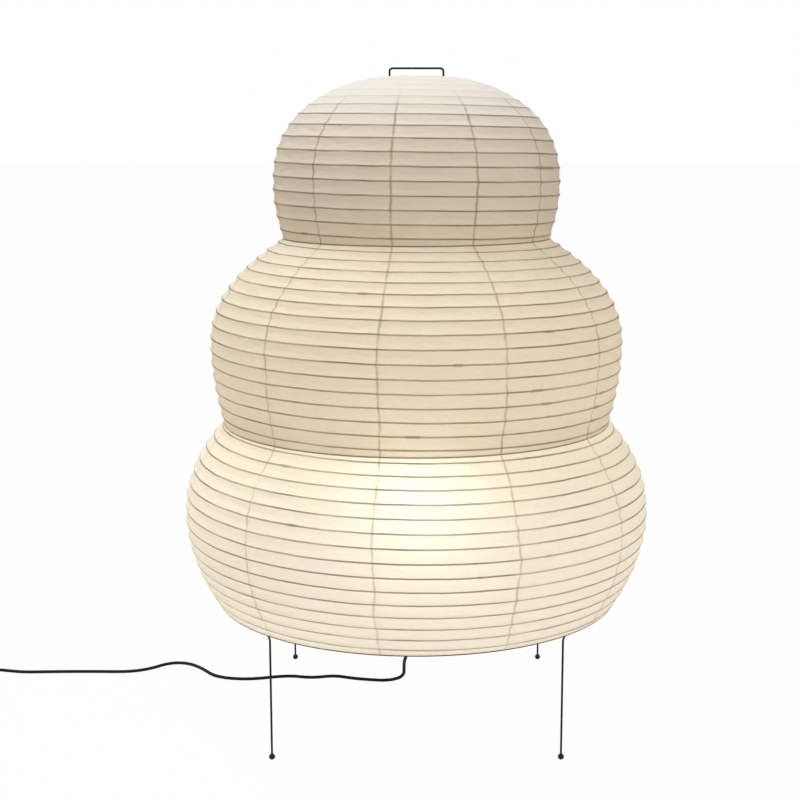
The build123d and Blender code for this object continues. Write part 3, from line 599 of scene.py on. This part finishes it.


# The strip's line of painted shade wavers a little, is fainter in places and thicker where two lengths
# are spliced
rib_waver = calc(paper_tree, "MULTIPLY", calc(paper_tree, "SUBTRACT", paper_noise(28.0), 0.5), 0.11)
rib_place = calc(paper_tree, "ADD", turn_place, rib_waver)
rib_away = calc(paper_tree, "MULTIPLY", away_from_whole(rib_place), RIB_PITCH)
splice = spread(paper_tree, paper_noise(33.0, 1.0), 0.70, 0.74, 1.0, 1.7)
rib_half = calc(paper_tree, "MULTIPLY", paper_in.outputs["Rib Half Width"], splice)
rib_edge = calc(paper_tree, "MULTIPLY", rib_half, 2.1)
rib_line = spread(paper_tree, rib_away, rib_half, rib_edge, 1.0, 0.0, soft=True)
rib_fade = spread(paper_tree, paper_noise(16.0, 3.0), 0.35, 0.6, 0.62, 1.0)
rib_mask = calc(paper_tree, "MULTIPLY", rib_line, rib_fade)

# The gores' joints waver more, and lap over by a few millimetres on one side
radius_squared = calc(
    paper_tree, "MULTIPLY_ADD", place_parts.outputs[0], place_parts.outputs[0],
    calc(paper_tree, "MULTIPLY", place_parts.outputs[1], place_parts.outputs[1]),
)
sheet_radius = calc(paper_tree, "SQRT", radius_squared)
gore_width = calc(paper_tree, "MULTIPLY", sheet_radius, 2 * math.pi / GORES)
seam_noise = calc(paper_tree, "MULTIPLY_ADD", paper_noise(140.0), 0.35, paper_noise(22.0))
seam_waver = calc(paper_tree, "MULTIPLY", calc(paper_tree, "SUBTRACT", seam_noise, 0.67), 0.06)
seam_place = calc(paper_tree, "ADD", gore_place, seam_waver)
seam_away = calc(paper_tree, "MULTIPLY", away_from_whole(seam_place), gore_width)
seam_half = paper_in.outputs["Seam Half Width"]
seam_edge = calc(paper_tree, "MULTIPLY", seam_half, 2.6)
seam_line = spread(paper_tree, seam_away, seam_half, seam_edge, 1.0, 0.0, soft=True)
seam_fade = spread(paper_tree, paper_noise(60.0, 3.0), 0.3, 0.62, 0.35, 1.0)
seam_mask = calc(paper_tree, "MULTIPLY", seam_line, seam_fade)
lap_away = calc(paper_tree, "MULTIPLY", calc(paper_tree, "FRACT", seam_place), gore_width)
lap_width = paper_in.outputs["Lap Width"]
lap_edge = calc(paper_tree, "MULTIPLY", lap_width, 1.12)
lap_mask = spread(paper_tree, lap_away, lap_width, lap_edge, 1.0, 0.0, soft=True)

# Fibres lie mostly level, broad clouds are where the pulp is thicker, and creases cross the sheet
level_place = node(
    paper_tree, "ShaderNodeVectorMath", {0: paper_place, 1: (1.0, 1.0, 5.0)}, operation="MULTIPLY"
).outputs[0]
long_fibre = calc(paper_tree, "MULTIPLY", paper_noise(170.0, 6.0, level_place, 0.7), 0.6)
short_fibre = calc(paper_tree, "MULTIPLY", paper_noise(520.0, 3.0, rough=0.65), 0.4)
fibre = calc(paper_tree, "ADD", long_fibre, short_fibre)
cloud = paper_noise(14.0, 5.0, rough=0.6)
crease = node(
    paper_tree, "ShaderNodeTexVoronoi", {"Vector": level_place, "Scale": 26.0},
    feature="DISTANCE_TO_EDGE",
).outputs[0]
crease_height = spread(paper_tree, crease, 0.0, 0.12, 0.0, 0.35, soft=True)
lap_height = calc(paper_tree, "MULTIPLY", lap_mask, 0.35)
height = calc(
    paper_tree, "ADD", calc(paper_tree, "MULTIPLY_ADD", rib_mask, 0.7, lap_height),
    calc(paper_tree, "MULTIPLY_ADD", fibre, 0.6, crease_height),
)
for place, socket in enumerate((rib_mask, seam_mask, lap_mask, fibre, cloud, height)):
    paper_tree.links.new(socket, paper_out.inputs[place])
print("paper pattern nodes", len(paper_tree.nodes))


# %% [markdown]
# ## Lit paper
#
# The bulb stands in the lowest tier, so the paper there glows nearly white, the middle tier is warm
# and the top one hardly lit. Part of the bulb's light really passes the sheet, and makes the bright
# spot in front of it. The rest is painted glow: the paper's emission is written by height for each
# tier, as if that light spread so much inside that it depended on the height alone. Painted shade
# takes the glow off where the strip and the overlaps hold light back. Towards the crown the colour
# turns paler and cooler and the strip's line fades, and each waist has a dark line of painted shadow
# that stands for its hoop behind the paper.

# %% Paper finishes
THICK_PULP = (0.73, 0.64, 0.50, 1.0)
THIN_PULP = (0.84, 0.77, 0.65, 1.0)
FIBRE_COLOUR = (0.66, 0.54, 0.38, 1.0)
CROWN_COLOUR = (0.82, 0.78, 0.72, 1.0)
SEAM_COLOUR = (0.34, 0.26, 0.15, 1.0)
STRIP_SHADE_COLOUR = (0.19, 0.12, 0.06, 1.0)
CROWN_PALES = (0.570, 0.640)
CROWN_HIDES = (0.608, 0.634)
WAIST_SHADOW_WIDTHS = (0.0003, 0.0009)


def paper_finish(name, seam_share, glow):
    """Paper with its pattern, and its painted glow by height as (height in metres, colour) pairs."""
    material = bpy.data.materials.new(name)
    material.use_nodes = True
    tree = material.node_tree
    shader = tree.nodes["Principled BSDF"]
    pattern = node(tree, "ShaderNodeGroup", node_tree=paper_tree)
    masks = pattern.outputs
    sheet = blend_colour(tree, masks["Cloud"], THICK_PULP, THIN_PULP)
    fibres = spread(tree, masks["Fibre"], 0.35, 0.65, 0.0, 0.35)
    sheet = blend_colour(tree, fibres, sheet, FIBRE_COLOUR)
    place = node(tree, "ShaderNodeTexCoord").outputs["Object"]
    level = node(tree, "ShaderNodeSeparateXYZ", {0: place}).outputs[2]
    pale = spread(tree, level, *CROWN_PALES, soft=True)
    sheet = blend_colour(tree, pale, sheet, CROWN_COLOUR)
    shows = spread(tree, level, *CROWN_HIDES, 1.0, 0.06, soft=True)
    strip_and_waist_shade = calc(tree, "MULTIPLY", masks["Rib"], shows)
    # Painted shadow: a dark line at each waist stands for the hoop behind the paper
    for waist in WAIST_LEVELS:
        waist_away = calc(tree, "ABSOLUTE", calc(tree, "SUBTRACT", level, waist))
        waist_shadow_line = spread(tree, waist_away, *WAIST_SHADOW_WIDTHS, 1.0, 0.0, soft=True)
        strip_and_waist_shade = calc(tree, "MAXIMUM", strip_and_waist_shade, waist_shadow_line)
    seam_seen = calc(tree, "MULTIPLY", masks["Seam"], shows)
    seam_part = calc(tree, "MULTIPLY", seam_seen, seam_share)
    sheet = blend_colour(tree, seam_part, sheet, SEAM_COLOUR)
    # Painted shade: the strip's shadow through the paper and the waists' shadow lines darken the colour
    shade_line_part = calc(tree, "MULTIPLY", strip_and_waist_shade, 0.80)
    sheet = blend_colour(tree, shade_line_part, sheet, STRIP_SHADE_COLOUR)
    tree.links.new(sheet, shader.inputs["Base Color"])

    # Painted glow: the emission is written by height, and painted shade takes it off at the strip,
    # seams and laps
    low, high = glow[0][0], glow[-1][0]
    ramp = node(tree, "ShaderNodeValToRGB", {0: spread(tree, level, low, high)})
    while len(ramp.color_ramp.elements) < len(glow):
        ramp.color_ramp.elements.new(0.5)
    for element, (stop, colour) in zip(ramp.color_ramp.elements, glow):
        element.position = (stop - low) / (high - low)
        element.color = (*colour, 1.0)
    held_back = calc(tree, "MULTIPLY", strip_and_waist_shade, 0.72)
    held_back = calc(tree, "MAXIMUM", held_back, calc(tree, "MULTIPLY", seam_seen, 0.45))
    held_back = calc(tree, "MAXIMUM", held_back, calc(tree, "MULTIPLY", masks["Lap"], 0.10))
    thin = spread(tree, masks["Fibre"], 0.3, 0.7, 1.06, 0.90)
    through = calc(tree, "MULTIPLY", calc(tree, "SUBTRACT", 1.0, held_back), thin)
    grey = node(tree, "ShaderNodeCombineColor", {0: through, 1: through, 2: through}).outputs[0]
    light = blend_colour(tree, 1.0, ramp.outputs[0], grey, "MULTIPLY")
    tree.links.new(light, shader.inputs["Emission Color"])
    shader.inputs["Emission Strength"].default_value = 1.0

    tree.links.new(spread(tree, masks["Fibre"], 0.3, 0.7, 0.86, 1.0), shader.inputs["Roughness"])
    relief = node(
        tree, "ShaderNodeBump", {"Strength": 0.45, "Distance": 0.0008, "Height": masks["Height"]}
    )
    tree.links.new(relief.outputs[0], shader.inputs["Normal"])
    shader.inputs["Specular IOR Level"].default_value = 0.2
    shader.inputs["Transmission Weight"].default_value = 0.2
    shader.inputs["IOR"].default_value = 1.45
    return material


PAPERS = {
    "bottom": paper_finish("paper_bottom", 0.50, [
        (0.127, (0.27, 0.245, 0.190)), (0.180, (0.27, 0.255, 0.205)), (0.218, (0.27, 0.255, 0.205)),
        (0.262, (0.26, 0.245, 0.195)), (0.307, (0.28, 0.250, 0.195)),
    ]),
    "middle": paper_finish("paper_middle", 0.62, [
        (0.307, (0.10, 0.075, 0.040)), (0.340, (0.17, 0.135, 0.085)), (0.400, (0.16, 0.130, 0.085)),
        (0.490, (0.10, 0.085, 0.065)),
    ]),
    "top": paper_finish("paper_top", 0.75, [
        (0.490, (0.045, 0.026, 0.008)), (0.540, (0.020, 0.012, 0.004)), (0.647, (0.010, 0.008, 0.006)),
    ]),
}
print("paper finishes", list(PAPERS))

# %% [markdown]
# ## Paper tiers
#
# The sheet follows a rule: it lies on the profile where the strip is behind it and draws in a little
# between two turns, less so at the crown. So it is made by a tree of geometry nodes. A grid is bent
# round the axis, with its rows slanted so that they run along the strip, and each point is put at its
# place on the profile.

# %% Tree: a paper tier
EDGE_CALM = 0.006
CROWN_CALM = (0.600, 0.634)
sheet_tree, sheet_in, sheet_out = make_group(
    "paper_tier",
    "GeometryNodeTree",
    [
        ("Geometry", SHAPE, None), ("Rows", WHOLE, 160), ("Columns", WHOLE, 240),
        ("Phase Start", VALUE, 0.0), ("Phase Span", VALUE, 1.0), ("Turns", VALUE, 15.0),
        ("Margin", VALUE, 0.004), ("Pitch", VALUE, RIB_PITCH), ("Sag", VALUE, 0.001),
        ("Length", VALUE, 0.2), ("Gores", VALUE, GORES), ("Paper", FINISH, None),
    ],
    [("Geometry", SHAPE)],
)
sheet_sizes = sheet_in.outputs
grid = node(
    sheet_tree, "GeometryNodeMeshGrid",
    {0: 1.0, 1: 1.0, 2: sheet_sizes["Columns"], 3: sheet_sizes["Rows"]},
)
grid_place = node(sheet_tree, "GeometryNodeInputPosition").outputs[0]
grid_parts = node(sheet_tree, "ShaderNodeSeparateXYZ", {0: grid_place})
around = calc(sheet_tree, "ADD", grid_parts.outputs[0], 0.5)
down = calc(sheet_tree, "ADD", grid_parts.outputs[1], 0.5)
phase = calc(sheet_tree, "MULTIPLY_ADD", down, sheet_sizes["Phase Span"], sheet_sizes["Phase Start"])
angle = calc(sheet_tree, "MULTIPLY_ADD", around, 2 * math.pi, SEAM_ANGLE)
from_end = calc(sheet_tree, "DIVIDE", calc(sheet_tree, "SUBTRACT", angle, RIB_END_ANGLE), 2 * math.pi)
turn_here = calc(sheet_tree, "ADD", calc(sheet_tree, "ADD", phase, sheet_sizes["Turns"]), from_end)
along_free = calc(sheet_tree, "MULTIPLY_ADD", turn_here, sheet_sizes["Pitch"], sheet_sizes["Margin"])
along = calc(sheet_tree, "MAXIMUM", along_free, 0.0)
along = calc(sheet_tree, "MINIMUM", along, sheet_sizes["Length"])
wound_length = calc(sheet_tree, "SUBTRACT", along, sheet_sizes["Margin"])
turned_back = calc(sheet_tree, "DIVIDE", wound_length, sheet_sizes["Pitch"])
true_phase = calc(
    sheet_tree, "SUBTRACT", calc(sheet_tree, "SUBTRACT", turned_back, sheet_sizes["Turns"]), from_end
)
profile_curve = node(sheet_tree, "GeometryNodeMeshToCurve", {0: sheet_sizes["Geometry"]}).outputs[0]
sampled = node(
    sheet_tree, "GeometryNodeSampleCurve", {"Curves": profile_curve, "Length": along}, mode="LENGTH",
    use_all_curves=True,
)
on_profile = node(sheet_tree, "ShaderNodeSeparateXYZ", {0: sampled.outputs["Position"]})
way = node(sheet_tree, "ShaderNodeSeparateXYZ", {0: sampled.outputs["Tangent"]})
to_foot = calc(sheet_tree, "SUBTRACT", sheet_sizes["Length"], along)
free_of_edge = spread(sheet_tree, calc(sheet_tree, "MINIMUM", along, to_foot), 0.0, EDGE_CALM)
between = calc(sheet_tree, "MULTIPLY", calc(sheet_tree, "FRACT", true_phase), math.pi)
sag_here = calc(sheet_tree, "MULTIPLY", calc(sheet_tree, "SINE", between), sheet_sizes["Sag"])
sag_here = calc(sheet_tree, "MULTIPLY", sag_here, free_of_edge)
cosine, sine = calc(sheet_tree, "COSINE", angle), calc(sheet_tree, "SINE", angle)
round_place = node(
    sheet_tree, "ShaderNodeCombineXYZ",
    {0: cosine, 1: sine, 2: calc(sheet_tree, "MULTIPLY", along, 30.0)},
).outputs[0]
pucker = node(
    sheet_tree, "ShaderNodeTexNoise", {"Vector": round_place, "Scale": 9.0, "Detail": 3.0}
).outputs[0]
sag_here = calc(sheet_tree, "MULTIPLY", sag_here, spread(sheet_tree, pucker, 0.3, 0.7, 0.55, 1.45))
double_paper = spread(sheet_tree, on_profile.outputs[2], *CROWN_CALM, 1.0, 0.3)
sag_here = calc(sheet_tree, "MULTIPLY", sag_here, double_paper)
radius_here = calc(sheet_tree, "MULTIPLY_ADD", way.outputs[2], sag_here, on_profile.outputs[0])
fall_here = calc(sheet_tree, "MULTIPLY", way.outputs[0], sag_here)
level_here = calc(sheet_tree, "SUBTRACT", on_profile.outputs[2], fall_here)
bent = node(
    sheet_tree, "ShaderNodeCombineXYZ",
    {
        0: calc(sheet_tree, "MULTIPLY", radius_here, cosine),
        1: calc(sheet_tree, "MULTIPLY", radius_here, sine),
        2: level_here,
    },
).outputs[0]
map_place = node(
    sheet_tree, "ShaderNodeCombineXYZ",
    {0: calc(sheet_tree, "MULTIPLY", around, sheet_sizes["Gores"]), 1: true_phase, 2: 0.0},
).outputs[0]
mapped = node(
    sheet_tree, "GeometryNodeStoreNamedAttribute",
    {"Geometry": grid.outputs["Mesh"], "Name": "SheetMap", "Value": map_place},
    data_type="FLOAT2", domain="CORNER",
)
placed = node(sheet_tree, "GeometryNodeSetPosition", {"Geometry": mapped.outputs[0], "Position": bent})
merged = node(
    sheet_tree, "GeometryNodeMergeByDistance", {"Geometry": placed.outputs[0], "Distance": 0.00002}
)
smooth = node(sheet_tree, "GeometryNodeSetShadeSmooth", {"Geometry": merged.outputs[0]})
whole = node(sheet_tree, "GeometryNodeRealizeInstances", {"Geometry": smooth.outputs[0]})
dressed = node(
    sheet_tree, "GeometryNodeSetMaterial",
    {"Geometry": whole.outputs[0], "Material": sheet_sizes["Paper"]},
)
sheet_tree.links.new(dressed.outputs[0], sheet_out.inputs[0])
print("paper tree nodes", len(sheet_tree.nodes))

# %% Tree: a bamboo strip
rib_tree, rib_in, rib_out = make_group(
    "bamboo_strip",
    "GeometryNodeTree",
    [
        ("Geometry", SHAPE, None), ("Points", WHOLE, 900), ("Turns", VALUE, 15.0),
        ("Margin", VALUE, 0.004), ("Pitch", VALUE, RIB_PITCH), ("Depth", VALUE, RIB_DEPTH),
        ("Diameter", VALUE, RIB_DIAMETER), ("Bamboo", FINISH, None),
    ],
    [("Geometry", SHAPE)],
)
rib_sizes = rib_in.outputs
strip = node(rib_tree, "GeometryNodeCurvePrimitiveLine", {"Start": (0, 0, 0), "End": (1, 0, 0)})
strip = node(
    rib_tree, "GeometryNodeResampleCurve", {"Curve": strip.outputs[0], "Count": rib_sizes["Points"]}
)
share = node(rib_tree, "GeometryNodeSplineParameter").outputs["Factor"]
turned = calc(rib_tree, "MULTIPLY", share, rib_sizes["Turns"])
turns_left = calc(rib_tree, "SUBTRACT", turned, rib_sizes["Turns"])
rib_angle = calc(rib_tree, "MULTIPLY_ADD", turns_left, 2 * math.pi, RIB_END_ANGLE)
rib_along = calc(rib_tree, "MULTIPLY_ADD", turned, rib_sizes["Pitch"], rib_sizes["Margin"])
rib_profile = node(rib_tree, "GeometryNodeMeshToCurve", {0: rib_sizes["Geometry"]}).outputs[0]
rib_sample = node(
    rib_tree, "GeometryNodeSampleCurve", {"Curves": rib_profile, "Length": rib_along}, mode="LENGTH",
    use_all_curves=True,
)
rib_spot = node(rib_tree, "ShaderNodeSeparateXYZ", {0: rib_sample.outputs["Position"]})
rib_way = node(rib_tree, "ShaderNodeSeparateXYZ", {0: rib_sample.outputs["Tangent"]})
rib_radius = calc(rib_tree, "MULTIPLY_ADD", rib_way.outputs[2], rib_sizes["Depth"], rib_spot.outputs[0])
rib_fall = calc(rib_tree, "MULTIPLY", rib_way.outputs[0], rib_sizes["Depth"])
rib_level = calc(rib_tree, "SUBTRACT", rib_spot.outputs[2], rib_fall)
rib_bent = node(
    rib_tree, "ShaderNodeCombineXYZ",
    {
        0: calc(rib_tree, "MULTIPLY", rib_radius, calc(rib_tree, "COSINE", rib_angle)),
        1: calc(rib_tree, "MULTIPLY", rib_radius, calc(rib_tree, "SINE", rib_angle)),
        2: rib_level,
    },
).outputs[0]
wound = node(rib_tree, "GeometryNodeSetPosition", {"Geometry": strip.outputs[0], "Position": rib_bent})
section = node(
    rib_tree, "GeometryNodeCurvePrimitiveCircle",
    {"Resolution": 8, "Radius": calc(rib_tree, "MULTIPLY", rib_sizes["Diameter"], 0.5)}, mode="RADIUS",
)
tube = node(
    rib_tree, "GeometryNodeCurveToMesh",
    {"Curve": wound.outputs[0], "Profile Curve": section.outputs[0], "Fill Caps": True},
)
tube = node(rib_tree, "GeometryNodeSetShadeSmooth", {"Geometry": tube.outputs[0]})
tube = node(rib_tree, "GeometryNodeRealizeInstances", {"Geometry": tube.outputs[0]})
tube = node(
    rib_tree, "GeometryNodeSetMaterial",
    {"Geometry": tube.outputs[0], "Material": rib_sizes["Bamboo"]},
)
rib_tree.links.new(tube.outputs[0], rib_out.inputs[0])
print("strip tree nodes", len(rib_tree.nodes))

# %% The three tiers
ROWS_PER_TURN = 8
COLUMNS = 241
STRIP_POINTS_PER_TURN = 72
PAPER_SAG = 0.0014


def face_outwards(made):
    """Turn a shade's faces so that they look away from the axis."""
    outward = 0.0
    for face in made.data.polygons:
        outward += (face.normal.x * face.center.x + face.normal.y * face.center.y) * face.area
    if outward < 0:
        made.data.flip_normals()


for name, tier in TIERS.items():
    line = profile_line(f"{name}_profile", tier)
    offset = tier["turns"] + (SEAM_ANGLE - RIB_END_ANGLE) / (2 * math.pi)
    first = math.floor(-tier["margin"] / RIB_PITCH - offset - 1)
    last = math.ceil((tier["length"] - tier["margin"]) / RIB_PITCH - offset)
    sheet = run_tree(
        line, sheet_tree,
        {
            "Rows": (last - first) * ROWS_PER_TURN + 1, "Columns": COLUMNS,
            "Phase Start": float(first), "Phase Span": float(last - first), "Turns": tier["turns"],
            "Margin": tier["margin"], "Length": tier["length"], "Sag": PAPER_SAG, "Paper": PAPERS[name],
        },
        f"{name}_paper_sheet",
    )
    face_outwards(sheet)
    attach(sheet, "lamp")
    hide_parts(f"{name}_paper")
    rib = run_tree(
        line, rib_tree,
        {
            "Points": round(tier["turns"] * STRIP_POINTS_PER_TURN), "Turns": tier["turns"],
            "Margin": tier["margin"], "Bamboo": bamboo,
        },
        f"{name}_bamboo_strip",
    )
    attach(rib, "lamp")
    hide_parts(f"{name}_rib")
    bpy.data.objects.remove(line)
    print(name, round(tier["turns"], 2), "turns of strip", round(tier["area"], 4), "square metres")

# %% [markdown]
# ## Floor and light
#
# The lamp stands on a plain white floor that runs into a white background. Two broad soft lights, one
# from the front and one from above, and an even surround light the paper from outside, weakly enough
# that its painted glow still shows.

# %% Floor
FLOOR_REACH = 40.0
BACKDROP_SHARE = 0.97
FLOOR_CORNERS = ((-1, -1), (1, -1), (1, 1), (-1, 1))
floor_points = [(FLOOR_REACH * x, FLOOR_REACH * y, 0.0) for x, y in FLOOR_CORNERS]
floor_mesh = bpy.data.meshes.new("floor")
floor_mesh.from_pydata(floor_points, [], [(0, 1, 2, 3)])
floor = bpy.data.objects.new("floor", floor_mesh)
scene.collection.objects.link(floor)


def sees_backdrop(tree):
    """1 for rays that show the background: from the camera, a gloss or a glass."""
    path = node(tree, "ShaderNodeLightPath").outputs
    shown = calc(tree, "MAXIMUM", path["Is Camera Ray"], path["Is Glossy Ray"])
    return calc(tree, "MAXIMUM", shown, path["Is Transmission Ray"])


floor_paint = bpy.data.materials.new("white_floor")
floor_paint.use_nodes = True
floor_nodes = floor_paint.node_tree
floor_shader = floor_nodes.nodes["Principled BSDF"]
floor_shader.inputs["Base Color"].default_value = (0.92, 0.92, 0.92, 1.0)
floor_shader.inputs["Roughness"].default_value = 0.9
floor_shader.inputs["Specular IOR Level"].default_value = 0.0
white = node(floor_nodes, "ShaderNodeEmission", {"Color": (1.0, 1.0, 1.0, 1.0), "Strength": 1.0})
floor_mix = node(
    floor_nodes, "ShaderNodeMixShader",
    {
        0: calc(floor_nodes, "MULTIPLY", sees_backdrop(floor_nodes), BACKDROP_SHARE),
        1: floor_shader.outputs[0], 2: white.outputs[0],
    },
)
floor_nodes.links.new(floor_mix.outputs[0], floor_nodes.nodes["Material Output"].inputs["Surface"])
floor_mesh.materials.append(floor_paint)
print("floor reaches", FLOOR_REACH, "metres")

# %% Light
SURROUND = 0.40
world = bpy.data.worlds.new("studio")
scene.world = world
world.use_nodes = True
sky = world.node_tree
background = sky.nodes["Background"]
background.inputs["Color"].default_value = (1.0, 1.0, 1.0, 1.0)
surround = spread(sky, sees_backdrop(sky), 0.0, 1.0, SURROUND, 1.0)
sky.links.new(surround, background.inputs["Strength"])


def soft_light(name, place, aim, size, power, colour):
    """A broad square light that looks at a point."""
    data = bpy.data.lights.new(name, "AREA")
    data.size = size
    data.energy = power
    data.color = colour
    made = bpy.data.objects.new(name, data)
    made.location = place
    way = [to - at for to, at in zip(aim, place)]
    tilt = math.atan2(math.hypot(way[0], way[1]), -way[2])
    made.rotation_euler = (tilt, 0.0, math.atan2(way[1], way[0]) - math.pi / 2)
    scene.collection.objects.link(made)


soft_light(
    "key", place=(0.8, -1.5, 1.8), aim=(0.0, 0.0, 0.4), size=1.6, power=16.0, colour=(1.0, 0.98, 0.95)
)
soft_light(
    "top", place=(-0.85, 0.05, 2.5), aim=(0.0, 0.0, 0.5), size=1.6, power=36.0, colour=(0.95, 0.98, 1.0)
)
